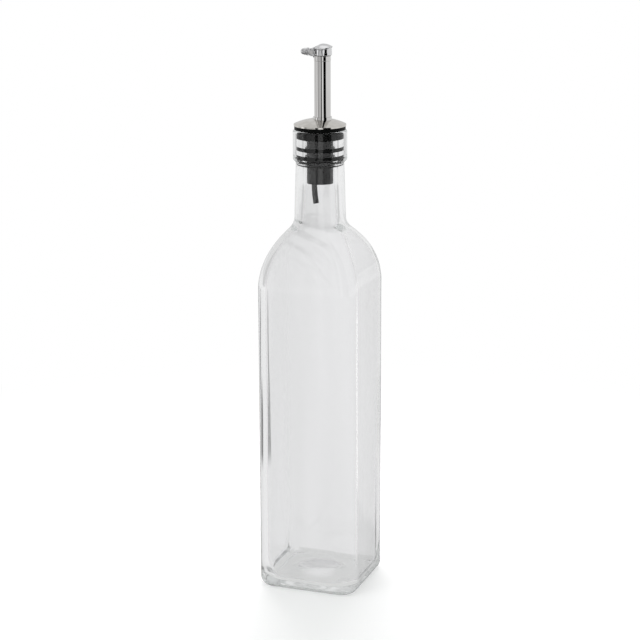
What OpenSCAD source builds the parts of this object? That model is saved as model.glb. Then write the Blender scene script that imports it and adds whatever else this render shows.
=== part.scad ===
// Square glass oil bottle with a ribbed stopper and a flap pourer.
// Millimetres. The origin is the middle of the standing ring, +Z is up and the front face looks along -Y.
// The body and its cavity are lofts of rounded squares that turn into circles at the neck.
// Everything that seals, turns or slides is a true revolve or cylinder.

/* [Bottle body] */
// Width across two opposite flat sides
body_w = 58; // [50:0.5:70]
// Outer radius of the four upright corners
corner_r = 9.8; // [6:0.2:14]
// Inner radius of the four upright corners
inner_corner_r = 8.4; // [7.4:0.2:10]
// Glass thickness in the flat sides
side_wall = 2.8; // [2:0.1:4]
// Radius of the heel between the sides and the standing ring
heel_r = 4.6; // [2:0.2:5.4]
// Height of the inner floor above the table
floor_z = 4; // [3.5:0.5:8]
// Radius of the bend between the inner floor and the inner walls
floor_bend_r = 4.5; // [3:0.5:7]
// Radius of the hollow pushed up under the base
pushup_r = 20; // [12:0.5:22]
// Height of the hollow pushed up under the base
pushup_h = 1.8; // [1:0.1:2.5]

/* [Shoulder and neck] */
// Height where the straight sides end
shoulder_z = 173.5; // [120:0.5:240]
// Radius of the convex bend of the shoulder, seen face on
shoulder_r = 48; // [36:0.5:60]
// Radius of the concave bend at the root of the neck
neck_root_r = 8.3; // [5:0.1:14]
// How late the square corners round off on the way up the shoulder
corner_fade = 5.4; // [2:0.1:8]
// Outer radius of the neck at its root
neck_r = 14.3; // [13:0.1:16]
// Outer radius of the neck just under the collar
neck_top_r = 13.35; // [12.8:0.05:16]
// Length from the neck's root to the rim
neck_len = 49.6; // [46:0.1:70]
// Radius of the mouth bore that the stopper seals in
bore_r = 8.5; // [8:0.05:10]
// Length of the straight mouth bore
bore_len = 32; // [24:0.5:40]
// Inner radius at the root of the neck
neck_inner_r = 9.3; // [8.9:0.1:10.5]
// Outer radius of the collar round the mouth
collar_r = 14.92; // [14.5:0.02:18]
// Height of the collar's straight side
collar_h = 16.1; // [8:0.1:20]
// Height of the taper under the collar
collar_taper_h = 2.2; // [1:0.1:6]
// Radius of the rounded rim edges
rim_round = 1.2; // [0.4:0.1:2]

/* [Stopper] */
// Radius of the stopper's core
core_r = 7.28; // [6.9:0.02:7.6]
// Length of the core below the rim
core_len = 29.4; // [26:0.1:34]
// Gap between a sealing fin and the bore
seal_gap = 0.05; // [0.02:0.01:0.1]
// Depth of the top ring's lower face below the rim
top_ring_depth = 5.6; // [5:0.1:8]
// Thickness of the top ring
top_ring_t = 3.9; // [2:0.1:4.5]
// Depth of the upper fin's lower face below the rim
upper_fin_depth = 11.9; // [10:0.1:14]
// Depth of the lower fin's lower face below the rim
lower_fin_depth = 16.5; // [15:0.1:18]
// Thickness of the two middle fins
fin_t = 2.5; // [1:0.1:3]
// Depth of the wiper fin's lower face below the rim
wiper_depth = 20; // [18.5:0.1:21]
// Thickness of the thin wiper fin
wiper_t = 0.8; // [0.5:0.1:1.2]
// Bevel of a fin's edge, as a share of its thickness
fin_bevel = 0.08; // [0.04:0.02:0.2]
// Radius of the flange that rests on the rim
flange_r = 14.1; // [12:0.1:14.3]
// Thickness of the flange
flange_t = 2.05; // [1.5:0.05:3]
// Radius of the oil passage below the spout tube
passage_r = 3.8; // [3:0.1:3.95]
// Sideways offset of the oil passage
passage_x = 2; // [1.7:0.1:2.2]

/* [Air tube] */
// Distance of the air tube from the stopper's axis
air_offset = 4.6; // [4.4:0.05:4.8]
// Compass angle of the air tube, counted from +X
air_angle = 157; // [150:1:170]
// Outer radius of the air tube
air_r = 1.65; // [1.4:0.05:1.7]
// Bore radius of the air tube
air_bore_r = 0.95; // [0.6:0.05:1]
// Depth of the socket that holds the air tube
air_socket = 9; // [6:0.5:10]
// Bend radius of the air tube's free end
air_bend_r = 60; // [50:1:120]
// Angle that the free end bends through
air_bend_angle = 11.5; // [8:0.5:13]

/* [Cover disc] */
// Outer radius of the cover disc
disc_r = 14.4; // [14.3:0.05:14.8]
// Height of the disc's upright edge
disc_edge_h = 0.8; // [0.7:0.1:1.5]
// Rise of the dome above the upright edge
dome_h = 3.2; // [2.5:0.1:4]
// Thickness of the pressed sheet
sheet_t = 0.6; // [0.4:0.05:0.8]

/* [Spout] */
// Sideways offset of the spout tube from the bottle's axis
spout_x = 1.5; // [1:0.1:1.7]
// Outer radius of the spout tube
spout_r = 4.5; // [4.3:0.05:4.6]
// Wall of the spout tube
spout_wall = 0.5; // [0.4:0.05:0.7]
// Height of the spout's shoulder above the rim
spout_h = 40; // [30:0.1:60]
// Depth that the tube reaches below the rim
spout_sunk = 18; // [12:0.5:20]
// Outer radius of the narrowed mouth under the flap
mouth_r = 3.6; // [3.3:0.05:3.65]
// Height of the narrowed mouth
mouth_h = 3; // [2:0.1:3.2]
// Width of the bead that seats the tube on the disc
bead_w = 0.6; // [0.3:0.1:1]
// Height of the bead over the top of the dome
bead_h = 0.9; // [0.5:0.1:1.5]

/* [Flap] */
// Distance from the tube's axis to the hinge pin
hinge_reach = 5.4; // [5.2:0.05:6]
// Height of the hinge pin above the spout's shoulder
hinge_h = 2.1; // [2:0.05:2.3]
// Radius of the hinge pin
pin_r = 0.6; // [0.4:0.05:0.7]
// Running gap between the pin and the flap's knuckle
pin_gap = 0.05; // [0.02:0.01:0.1]
// Radius of the flap's knuckle
knuckle_r = 1.45; // [1.2:0.05:1.5]
// Width of the flap's knuckle and tongue
knuckle_w = 2.9; // [2:0.1:3]
// Side gap between the knuckle and each ear
ear_gap = 0.15; // [0.1:0.05:0.3]
// Radius of the pin's heads
head_r = 1; // [0.8:0.05:1.4]
// Thickness of the pin's heads
head_t = 0.35; // [0.2:0.05:0.6]
// Thickness of each hinge ear
ear_t = 1; // [0.6:0.1:1.4]
// Radius of the round end of an ear
ear_r = 2.15; // [1.6:0.05:2.2]
// Distance from the pin's axis to the back of an ear's stem
stem_inset = 0.3; // [0.2:0.05:0.5]
// Height of the band that carries the ears
band_h = 1.6; // [1.4:0.1:5]
// Thickness of the band
band_t = 0.2; // [0.15:0.05:0.35]
// Outer radius of the flap's cap
cap_r = 5.05; // [4.95:0.05:5.2]
// Wall of the cap's skirt
cap_wall = 0.7; // [0.5:0.05:0.75]
// Shift of the cap towards its pouring lip
cap_shift = 0.55; // [0.4:0.05:0.7]
// Distance from the tube's axis back to the open end of the skirt
cap_back = 2.2; // [1.8:0.1:2.4]
// Gap under the cap's skirt
skirt_gap = 0.5; // [0.3:0.05:0.8]
// Gap between the mouth and the cap's ceiling
ceiling_gap = 0.4; // [0.3:0.05:0.6]
// Height of the cap's crown above the spout's shoulder
crown_h = 6.7; // [6.3:0.1:7.5]
// Radius of the cap's domed crown
crown_r = 14; // [12:0.5:16]
// Shift of the crown's top towards the lip
crown_shift = 2.6; // [2:0.1:3]
// Length of the tail beyond the ears
tail_len = 4.6; // [3:0.1:8]
// Radius of the tail at the hinge
tail_root_r = 2.2; // [1.6:0.05:2.25]
// Radius of the tail's round tip
tail_tip_r = 1.75; // [1:0.05:1.8]
// Gap between the tail and the ears
tail_gap = 0.3; // [0.2:0.05:0.5]
// Bevel round the tail's root
tail_bevel = 0.3; // [0.1:0.05:0.5]
// Thickness of the blade in the tail
blade_t = 1.4; // [0.8:0.1:1.8]
// Height of the blade in the tail
blade_h = 2.4; // [1.6:0.1:2.6]
// Depth that the blade reaches into the tail
tongue_grip = 2.2; // [1.5:0.1:2.5]

/* [Hidden] */
$fn = 96;

// Loft quality: points along each corner, and rings along the bends.
corner_steps = 8;
heel_steps = 4;
shoulder_steps = 10;
root_steps = 6;
// A loft stays a little square at its top, so that no two of its points meet.
top_share = 0.985;
// The loft's top ends inside the neck by this much.
neck_bite = 0.3;
// The neck and the bore reach into the shoulder by these shares of its concave radii.
neck_share = 0.5;
bore_share = 0.4;
// Cuts run past faces by this much.
past = 1;

// The shoulder, seen face on: a convex arc, then a concave arc that meets the neck.
half_w = body_w / 2;
arc_x = half_w - shoulder_r;
root_x = neck_r + neck_root_r;
inner_half = half_w - side_wall;
inner_shoulder_r = shoulder_r - side_wall;
inner_root_r = root_x - neck_inner_r;

// Height of the point where the concave arc reaches the neck.
function root_height(convex_r, concave_r) =
    shoulder_z + sqrt(pow(convex_r + concave_r, 2) - pow(root_x - arc_x, 2));
neck_root_z = root_height(shoulder_r, neck_root_r);
inner_root_z = root_height(inner_shoulder_r, inner_root_r);
rim_z = neck_root_z + neck_len;

// Heights on the pourer.
disc_z = rim_z + flange_t;
dome_top_z = disc_z + disc_edge_h + dome_h;
core_end_z = rim_z - core_len;
spout_top_z = rim_z + spout_h;
mouth_top_z = spout_top_z + mouth_h;
hinge_x = spout_x - hinge_reach;
hinge_z = spout_top_z + hinge_h;
ear_y = knuckle_w / 2 + ear_gap;
band_low_z = spout_top_z - (spout_r - mouth_r) - band_h;
stem_front_x = spout_x - spout_r / 2;
cap_back_x = spout_x - cap_back;
cap_w = 2 * cap_r;
crown_x = spout_x + crown_shift;
crown_z = spout_top_z + crown_h - crown_r;
tail_x = hinge_x - ear_r - tail_gap;
air_x = air_offset * cos(air_angle);
air_y = air_offset * sin(air_angle);
duct_r = air_bore_r;

// ---- Lofted glass ----

// Corner points of a rounded square, counter-clockwise, at one height.
function square_ring(half, r, z) = [
    for (k = [0:3], j = [0:corner_steps])
        let (turn = 90 * k + 90 * j / corner_steps, diagonal = 45 + 90 * k)
        [(half - r) * sqrt(2) * cos(diagonal) + r * cos(turn),
         (half - r) * sqrt(2) * sin(diagonal) + r * sin(turn),
         z]
];

// Corner radius on the shoulder: it grows late, from the body's radius to a near circle.
function faded_corner(half, r, z, top_z) =
    let (climb = max(0, (z - shoulder_z) / (top_z - shoulder_z)))
    r + (half * top_share - r) * pow(climb, corner_fade);

// Rings of the shoulder: the convex arc up to the tangent point, then the concave arc to the neck.
function shoulder_rings(convex_r, concave_r, r, top_z, shrink) =
    let (lean = atan2(top_z - shoulder_z, root_x - arc_x))
    concat(
        [for (i = [0:shoulder_steps])
            let (a = lean * i / shoulder_steps,
                 half = arc_x + convex_r * cos(a),
                 z = shoulder_z + convex_r * sin(a))
            square_ring(half, faded_corner(half, r, z, top_z), z)],
        [for (i = [1:root_steps])
            let (a = lean * (1 - i / root_steps),
                 half = root_x - concave_r * cos(a) - shrink * i / root_steps,
                 z = top_z - concave_r * sin(a))
            square_ring(half, faded_corner(half, r, z, top_z), z)]);

// Solid between stacked rings that all have the same number of points.
module loft(rings) {
    n = len(rings[0]);
    count = len(rings);
    points = [for (ring = rings, p = ring) p];
    bottom = [for (j = [0:n - 1]) j];
    top = [for (j = [n - 1:-1:0]) (count - 1) * n + j];
    sides = [for (i = [0:count - 2], j = [0:n - 1], half = [0, 1])
        let (a = i * n + j, b = i * n + (j + 1) % n)
        half == 0 ? [a, a + n, b] : [b, a + n, b + n]];
    polyhedron(points, concat([bottom, top], sides), convexity = 6);
}

// Outer body: a rounded heel, straight sides and the shoulder.
module body_form() {
    heel = [for (i = [0:heel_steps])
        let (a = 90 * i / heel_steps, inset = heel_r * (1 - sin(a)))
        square_ring(half_w - inset, corner_r - inset, heel_r * (1 - cos(a)))];
    loft(concat(heel, shoulder_rings(shoulder_r, neck_root_r, corner_r, neck_root_z, neck_bite)));
}

// Cavity: a floor with a soft bend, straight walls and the inside of the shoulder.
module cavity_form() {
    bend = [for (i = [0:heel_steps])
        let (a = 90 * i / heel_steps, inset = floor_bend_r * (1 - sin(a)))
        square_ring(inner_half - inset, inner_corner_r - inset, floor_z + floor_bend_r * (1 - cos(a)))];
    loft(concat(bend,
        shoulder_rings(inner_shoulder_r, inner_root_r, inner_corner_r, inner_root_z, neck_bite)));
}

// Neck and collar, revolved; the rim's outer edge is rounded.
module neck_form() {
    collar_low = rim_z - collar_h;
    neck_low = neck_root_z - neck_root_r * neck_share;
    rotate_extrude() difference() {
        polygon([
            [0, neck_low],
            [neck_r, neck_low],
            [neck_r, neck_root_z],
            [neck_top_r, collar_low - collar_taper_h],
            [(neck_top_r + collar_r) / 2, collar_low - collar_taper_h / 2],
            [collar_r, collar_low],
            [collar_r, rim_z],
            [0, rim_z]]);
        rim_cut();
    }
}

// What rounding removes from the collar's upper edge.
module rim_cut() {
    translate([collar_r - rim_round, rim_z - rim_round]) difference() {
        square([rim_round + past, rim_round + past]);
        circle(r = rim_round);
    }
}

// Mouth bore: straight where the stopper seals, then widening to the shoulder.
module bore_form() {
    bore_low = inner_root_z - inner_root_r * bore_share;
    rotate_extrude() polygon([
        [0, bore_low],
        [neck_inner_r, bore_low],
        [neck_inner_r, inner_root_z],
        [bore_r, rim_z - bore_len],
        [bore_r, rim_z + past],
        [0, rim_z + past]]);
}

// Shallow spherical hollow under the base.
module pushup_form() {
    ball_r = (pow(pushup_r, 2) + pow(pushup_h, 2)) / (2 * pushup_h);
    translate([0, 0, pushup_h - ball_r]) sphere(r = ball_r);
}

module glass_bottle() {
    color("lightcyan", 0.5) difference() {
        union() {
            body_form();
            neck_form();
        }
        cavity_form();
        bore_form();
        pushup_form();
    }
}

// ---- Stopper ----

// One sealing ring on the core: a flat fin with bevelled edges.
module fin(depth, thick) {
    low = rim_z - depth;
    tip = bore_r - seal_gap;
    edge = thick * fin_bevel;
    rotate_extrude() polygon([
        [0, low], [tip - edge, low], [tip, low + edge],
        [tip, low + thick - edge], [tip - edge, low + thick], [0, low + thick]]);
}

module stopper() {
    color([0.05, 0.06, 0.05]) difference() {
        union() {
            translate([0, 0, core_end_z]) cylinder(r = core_r, h = core_len + flange_t / 2);
            translate([0, 0, rim_z]) cylinder(r = flange_r, h = flange_t);
            fin(top_ring_depth, top_ring_t);
            fin(upper_fin_depth, fin_t);
            fin(lower_fin_depth, fin_t);
            fin(wiper_depth, wiper_t);
        }
        // Seat of the spout tube.
        translate([spout_x, 0, rim_z - spout_sunk])
            cylinder(r = spout_r, h = spout_sunk + flange_t + past);
        // Oil passage under the tube.
        translate([passage_x, 0, core_end_z - past])
            cylinder(r = passage_r, h = core_len - spout_sunk + 2 * past);
        // Socket of the air tube and the duct above it.
        translate([air_x, air_y, core_end_z - past]) cylinder(r = air_r, h = air_socket + past);
        translate([air_x, air_y, core_end_z]) cylinder(r = duct_r, h = core_len + flange_t + past);
    }
}

// ---- Cover disc ----

// Radius of the ball whose cap has this rim radius and rise.
function dome_ball(r, rise) = (pow(r, 2) + pow(rise, 2)) / (2 * rise);

// Half outline of a dome with an upright edge, filled down to the disc's seat.
module dome_half(r, edge_h, rise) {
    square([r, edge_h]);
    intersection() {
        translate([0, edge_h + rise - dome_ball(r, rise)]) circle(r = dome_ball(r, rise));
        translate([0, edge_h]) square([r, rise + past]);
    }
}

// Pressed dome with a hole for the spout tube and a small vent behind it.
module cover_disc() {
    color("gainsboro") difference() {
        translate([0, 0, disc_z]) rotate_extrude() difference() {
            dome_half(disc_r, disc_edge_h, dome_h);
            translate([0, -sheet_t]) dome_half(disc_r - sheet_t, disc_edge_h, dome_h);
        }
        translate([spout_x, 0, disc_z - past]) cylinder(r = spout_r, h = dome_h + disc_edge_h + 2 * past);
        translate([air_x, air_y, disc_z - past]) cylinder(r = duct_r, h = dome_h + disc_edge_h + 2 * past);
    }
}

// ---- Spout ----

// Tube from inside the stopper to the narrowed mouth, with the bead that seats on the dome.
module spout_tube() {
    tube_low = rim_z - spout_sunk;
    cone_low = spout_top_z - (spout_r - mouth_r);
    inner_r = spout_r - spout_wall;
    color("silver") union() {
        translate([spout_x, 0, 0]) rotate_extrude() polygon([
            [inner_r, tube_low], [spout_r, tube_low], [spout_r, cone_low], [mouth_r, spout_top_z],
            [mouth_r, mouth_top_z], [mouth_r - spout_wall, mouth_top_z],
            [mouth_r - spout_wall, spout_top_z], [inner_r, cone_low]]);
        difference() {
            translate([spout_x, 0, dome_top_z - bead_h]) difference() {
                cylinder(r = spout_r + bead_w, h = 2 * bead_h);
                translate([0, 0, -past]) cylinder(r = inner_r + spout_wall / 2, h = 2 * (bead_h + past));
            }
            translate([0, 0, dome_top_z - dome_ball(disc_r, dome_h)]) sphere(r = dome_ball(disc_r, dome_h));
        }
    }
}

// Rectangle given by two opposite corners.
module square_at(x0, z0, x1, z1) {
    translate([x0, z0]) square([x1 - x0, z1 - z0]);
}

// ---- Air tube ----

module air_tube() {
    color([0.06, 0.06, 0.06]) translate([air_x, air_y, core_end_z]) {
        difference() {
            cylinder(r = air_r, h = air_socket);
            translate([0, 0, -past]) cylinder(r = air_bore_r, h = air_socket + 2 * past);
        }
        // The free end bends towards the middle of the neck.
        translate([air_bend_r, 0, 0]) rotate([90, 0, 0]) rotate([0, 0, 180])
            rotate_extrude(angle = air_bend_angle) translate([air_bend_r, 0]) difference() {
                circle(r = air_r);
                circle(r = air_bore_r);
            }
    }
}

// ---- Hinge ----

// Band round the tube with two upright ears for the pin.
module hinge_band() {
    color("silver") difference() {
        union() {
            translate([spout_x, 0, band_low_z]) cylinder(r = spout_r + band_t, h = band_h);
            for (side = [-1, 1]) ear(side);
        }
        translate([spout_x, 0, band_low_z - past]) cylinder(r = spout_r, h = spout_top_z - band_low_z + past);
        translate([spout_x, 0, spout_top_z - past]) cylinder(r = mouth_r + ear_gap, h = 2 * ear_r + hinge_h);
        translate([hinge_x, 0, hinge_z]) rotate([90, 0, 0])
            cylinder(r = pin_r, h = 2 * (ear_y + ear_t + past), center = true);
    }
}

// One ear: a round eye about the pin on a stem that stands on the band.
module ear(side) {
    y = side > 0 ? ear_y + ear_t : -ear_y;
    translate([0, y, 0]) rotate([90, 0, 0]) linear_extrude(ear_t) {
        translate([hinge_x, hinge_z]) circle(r = ear_r);
        square_at(hinge_x + stem_inset, band_low_z, stem_front_x, hinge_z);
    }
}

// Pin with a low head outside each ear.
module hinge_pin() {
    color("silver") translate([hinge_x, 0, hinge_z]) rotate([90, 0, 0]) {
        cylinder(r = pin_r, h = 2 * (ear_y + ear_t), center = true);
        for (side = [-1, 1]) translate([0, 0, side * (ear_y + ear_t + head_t / 2)])
            cylinder(r = head_r, h = head_t, center = true);
    }
}

// ---- Flap ----

// Domed cap over the mouth, open at its back, with a tongue and knuckle that hang it on the pin.
module flap_cap() {
    ceiling_z = mouth_top_z + ceiling_gap;
    color("whitesmoke") difference() {
        union() {
            difference() {
                intersection() {
                    translate([spout_x + cap_shift, 0, spout_top_z + skirt_gap]) cylinder(r = cap_r, h = crown_h);
                    translate([crown_x, 0, crown_z]) sphere(r = crown_r);
                }
                translate([spout_x + cap_shift, 0, spout_top_z])
                    cylinder(r = cap_r - cap_wall, h = ceiling_z - spout_top_z);
                translate([cap_back_x - cap_w, -cap_w, spout_top_z])
                    cube([cap_w, 2 * cap_w, 2 * crown_h]);
            }
            tongue(ceiling_z);
        }
        translate([hinge_x, 0, hinge_z]) rotate([90, 0, 0])
            cylinder(r = pin_r + pin_gap, h = knuckle_w + 2 * past, center = true);
    }
}

// Knuckle about the pin, the arm up to the crown, and the blade that grips the tail.
module tongue(ceiling_z) {
    translate([0, knuckle_w / 2, 0]) rotate([90, 0, 0]) linear_extrude(knuckle_w) {
        translate([hinge_x, hinge_z]) circle(r = knuckle_r);
        intersection() {
            translate([crown_x, crown_z]) circle(r = crown_r);
            union() {
                square_at(hinge_x, hinge_z, hinge_x + knuckle_r, hinge_z + 2 * crown_h);
                square_at(hinge_x, ceiling_z, cap_back_x + cap_wall, hinge_z + 2 * crown_h);
            }
        }
    }
    blade();
}

// Flat blade from inside the knuckle into the tail, which is moulded round it.
module blade() {
    reach = tail_x - tongue_grip;
    translate([reach, -blade_t / 2, hinge_z - blade_h / 2])
        cube([hinge_x - knuckle_r / 2 - reach, blade_t, blade_h]);
}

// Tapered tail with a round tip and a slot that the blade fills.
module flap_tail() {
    color("whitesmoke") difference() {
        translate([tail_x, 0, hinge_z]) rotate([0, -90, 0]) rotate_extrude() {
            polygon([[0, 0], [tail_root_r - tail_bevel, 0], [tail_root_r, tail_bevel],
                     [tail_tip_r, tail_len - tail_tip_r], [0, tail_len - tail_tip_r]]);
            intersection() {
                translate([0, tail_len - tail_tip_r]) circle(r = tail_tip_r);
                square_at(0, tail_len - tail_tip_r, tail_tip_r, tail_len);
            }
        }
        blade();
    }
}

glass_bottle();
stopper();
cover_disc();
spout_tube();
air_tube();
hinge_band();
hinge_pin();
flap_cap();
flap_tail();
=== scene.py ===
"""A square glass oil bottle with a flap pourer: glass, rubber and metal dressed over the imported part.

Everything is in metres in the part's own frame: the bottle stands on z = 0, its axis is the z axis, and
the tail of the pourer's flap points along -x. The new surfaces are worked out in millimetres, and skin
turns them into metres.
"""

import math

import bpy
import numpy as np
from mathutils import Matrix, Vector


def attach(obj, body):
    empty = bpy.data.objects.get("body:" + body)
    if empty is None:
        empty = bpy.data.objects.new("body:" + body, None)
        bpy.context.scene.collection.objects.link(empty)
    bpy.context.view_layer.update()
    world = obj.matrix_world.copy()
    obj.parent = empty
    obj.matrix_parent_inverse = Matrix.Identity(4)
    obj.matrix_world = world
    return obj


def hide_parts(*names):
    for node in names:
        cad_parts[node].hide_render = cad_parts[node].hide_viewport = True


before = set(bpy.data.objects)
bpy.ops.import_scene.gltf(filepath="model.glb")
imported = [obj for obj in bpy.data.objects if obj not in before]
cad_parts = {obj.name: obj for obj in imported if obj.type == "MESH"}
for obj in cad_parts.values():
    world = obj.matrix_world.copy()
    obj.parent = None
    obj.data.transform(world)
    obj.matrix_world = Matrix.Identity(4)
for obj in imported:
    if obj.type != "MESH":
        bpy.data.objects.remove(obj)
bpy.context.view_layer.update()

MM = 0.001
QUARTER = math.pi / 2

# ---------------------------------------------------------------------------
# Sizes of the glass, in millimetres, as in the part
# ---------------------------------------------------------------------------
HALF_WIDTH = 29.0
CORNER_R = 9.8
HEEL_R = 4.6
SHOULDER_Z = 173.5
SHOULDER_R = 48.0
NECK_ROOT_R = 8.3
CORNER_FADE = 5.4
NECK_R = 14.3
NECK_TOP_R = 13.35
NECK_LEN = 49.6
COLLAR_R = 14.92
COLLAR_H = 16.1
COLLAR_TAPER_H = 2.2
RIM_ROUND = 1.2
PUSHUP_R = 20.0
PUSHUP_H = 1.8

SIDE_WALL = 2.8
INNER_CORNER_R = 8.4
FLOOR_Z = 4.0
FLOOR_BEND_R = 4.5
NECK_INNER_R = 9.3
BORE_R = 8.5
BORE_LEN = 32.0
MOUTH_EDGE_R = 0.5

ARC_X = HALF_WIDTH - SHOULDER_R
ROOT_X = NECK_R + NECK_ROOT_R
INNER_HALF = HALF_WIDTH - SIDE_WALL
INNER_SHOULDER_R = SHOULDER_R - SIDE_WALL
INNER_ROOT_R = ROOT_X - NECK_INNER_R

# ---------------------------------------------------------------------------
# What the part leaves out: the marks of blowing and moulding, in millimetres
# ---------------------------------------------------------------------------
# The bore is drawn this much tighter than the fins, so that rubber and glass touch.
SEAL_CONTACT = 0.07
# Glass gathers in the cavity's corners below this height, up to this much extra corner radius.
CORNER_FILL_TOP = 15.0
CORNER_FILL = 5.0
# The floor's corners have turned round after one part in this many of the way to its middle.
FLOOR_ROUNDING = 1.6

# Unevenness of the blown glass: height, wave length and phase, in the cavity, near its floor and outside.
CAVITY_RIPPLE = (0.20, 46.0, 0.7)
FLOOR_RIPPLE = (0.13, 17.0, 1.9)
OUTSIDE_RIPPLE = (0.03, 60.0, 2.2)
# Lengths over which the unevenness fades: below the bore, up from the foot, down to the floor, to the neck.
BORE_FADE = 12.0
FOOT_CLEAR, FOOT_FADE = 0.8, 4.0
FLOOR_RIPPLE_TOP, FLOOR_FADE = 16.0, 10.0
NECK_FADE = 20.0

# Folds inside the shoulder: height, distance between two, lean per mm of x, and where they begin and end
# in mm below the neck's root, with the lengths over which they fade in and out.
FOLD_HEIGHT = 0.46
FOLD_STEP = 7.0
FOLD_LEAN = 0.022
FOLD_START, FOLD_FADE_IN = 1.5, 5.0
FOLD_END, FOLD_FADE_OUT = 32.0, 14.0
# They lie in front of FOLD_FRONT_Y, and mostly within FOLD_SPREAD of x = FOLD_X.
FOLD_FRONT_Y, FOLD_FADE_BACK = 2.0, 10.0
FOLD_X, FOLD_SPREAD = 6.0, 15.0

# Long shallow dents inside the glass: middle x, y, z, then half width across, half length up and depth.
DENTS = (
    (26.2, 20.0, 96.0, 1.4, 20.0, 0.35),
    (26.2, 16.0, 44.0, 1.4, 26.0, 0.35),
    (26.2, 22.0, 140.0, 1.0, 30.0, 0.20),
    (-10.0, -26.2, 50.0, 1.6, 11.0, 0.20),
    (-13.5, -26.2, 58.0, 1.2, 9.0, 0.14),
)

# Points round a quarter of the bottle: over the flat side, and over the corner, which takes this share.
SIDE_POINTS = 22
CORNER_POINTS = 31
CORNER_SHARE = 0.36
# Rings along each stretch of the profile, outside and inside, and the radius of the first ring outside.
# The collar's step has as many rings as the neck.
OUTER_RINGS = {
    "hollow": 28,
    "foot": 10,
    "heel": 22,
    "wall": 30,
    "convex": 60,
    "concave": 26,
    "neck": 16,
    "collar": 12,
    "lip": 10,
}
INNER_RINGS = {
    "mouth": 6,
    "seat": 10,
    "flare": 16,
    "convex": 60,
    "concave": 34,
    "wall": 62,
    "bend": 24,
    "floor": 34,
}
FIRST_RING_R = 0.6


def root_height(convex_r, concave_r):
    """Height where the concave arc reaches the neck: the two arc centres lie convex_r + concave_r apart."""
    return SHOULDER_Z + math.sqrt((convex_r + concave_r) ** 2 - (ROOT_X - ARC_X) ** 2)


NECK_ROOT_Z = root_height(SHOULDER_R, NECK_ROOT_R)
INNER_ROOT_Z = root_height(INNER_SHOULDER_R, INNER_ROOT_R)
RIM_Z = NECK_ROOT_Z + NECK_LEN


# ---------------------------------------------------------------------------
# Surfaces: the counts given to ramp, full_turn and turned are numbers of rings or points
# ---------------------------------------------------------------------------
def ramp(count, low=0.0, high=1.0, last=True):
    """Evenly spaced numbers from low to high, with or without the last."""
    return np.linspace(low, high, count, endpoint=last)


def full_turn(count):
    """Evenly spaced directions once round, in radians, without the one that would repeat the first."""
    return ramp(count, 0, 2 * math.pi, False)


def soft_step(t):
    """0 to 1 with flat ends: 3t^2 - 2t^3 of t held between 0 and 1."""
    t = np.clip(t, 0.0, 1.0)
    return t * t * (3 - 2 * t)


def signed_power(value, power):
    """Power of a number's size, under the number's own sign."""
    return np.sign(value) * np.abs(value) ** power


def superellipse(turn, power):
    """Points of |u|^power + |v|^power = 1 in the directions turn, as u and v."""
    c, s = np.cos(turn), np.sin(turn)
    reach = (np.abs(c) ** power + np.abs(s) ** power) ** (-1 / power)
    return reach * c, reach * s


def rounded_bar(low, high, rounding, end_rings, middle_rings=0):
    """Positions along a bar from low to high, and how far its side draws in there.

    Both ends are rounded as a quarter circle: the side draws in by rounding * (1 - sin a) while the
    position moves by rounding * (1 - cos a).
    """
    a = ramp(end_rings, 0, QUARTER)
    inset, rise = rounding * (1 - np.sin(a)), rounding * (1 - np.cos(a))
    middle = ramp(middle_rings + 2, low + rounding, high - rounding)[1:-1]
    along = np.concatenate([low + rise, middle, high - inset])
    return along, np.concatenate([inset, np.zeros(middle_rings), rise])


def grid_of(x, y, z):
    """Grid of points from three arrays, each repeated over the rows or columns that it lacks."""
    return np.stack(np.broadcast_arrays(x, y, z), -1)


def ring_reach(half, corner, turn):
    """Distance from the axis to a rounded square, in direction turn.

    turn is folded to the angle t from the nearest flat side. On the side the reach is half / cos t. Past
    the side's end it is the far root of |p - (a, a)| = corner with a = half - corner, which is
    a(c + s) + sqrt(a^2 (c + s)^2 - 2 a^2 + corner^2). half = corner gives a circle.
    """
    t = np.abs((turn + QUARTER / 2) % QUARTER - QUARTER / 2)
    c, s = np.cos(t), np.sin(t)
    a = half - corner
    along = a * (c + s)
    bend = along + np.sqrt(np.maximum(along**2 - 2 * a**2 + corner**2, 0))
    return np.where(half * s <= a * c, half / c, bend)


def turns_round():
    """Directions round a rounded square, closer together at the four corners.

    Each quarter turn holds SIDE_POINTS over the flat side and CORNER_POINTS over the middle CORNER_SHARE
    of the quarter about its diagonal.
    """
    half_corner = QUARTER * CORNER_SHARE / 2
    side = ramp(SIDE_POINTS, -QUARTER / 2 + half_corner, QUARTER / 2 - half_corner, False)
    corner = ramp(CORNER_POINTS, QUARTER / 2 - half_corner, QUARTER / 2 + half_corner, False)
    one = np.concatenate([side, corner])
    return np.concatenate([one + k * QUARTER for k in range(4)])


def lofted(half, corner, z, turn):
    """Grid of rounded squares: ring i has half width half[i], corner radius corner[i] and height z[i]."""
    reach = ring_reach(half[:, None], corner[:, None], turn[None, :])
    return grid_of(reach * np.cos(turn), reach * np.sin(turn), z[:, None])


def turned(radius, z, sides, centre_x=0.0):
    """Grid of circles: ring i has radius[i] at height z[i], about the upright axis through x = centre_x."""
    turn = full_turn(sides)
    r = radius[:, None]
    return grid_of(centre_x + r * np.cos(turn), r * np.sin(turn), z[:, None])


def grid_normals(grid):
    """Unit normals of a grid that closes along its second axis: the cross product of its two slopes."""
    around = np.roll(grid, -1, axis=1) - np.roll(grid, 1, axis=1)
    along = np.gradient(grid, axis=0)
    n = np.cross(around, along)
    return n / np.maximum(np.linalg.norm(n, axis=2, keepdims=True), 1e-12)


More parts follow.
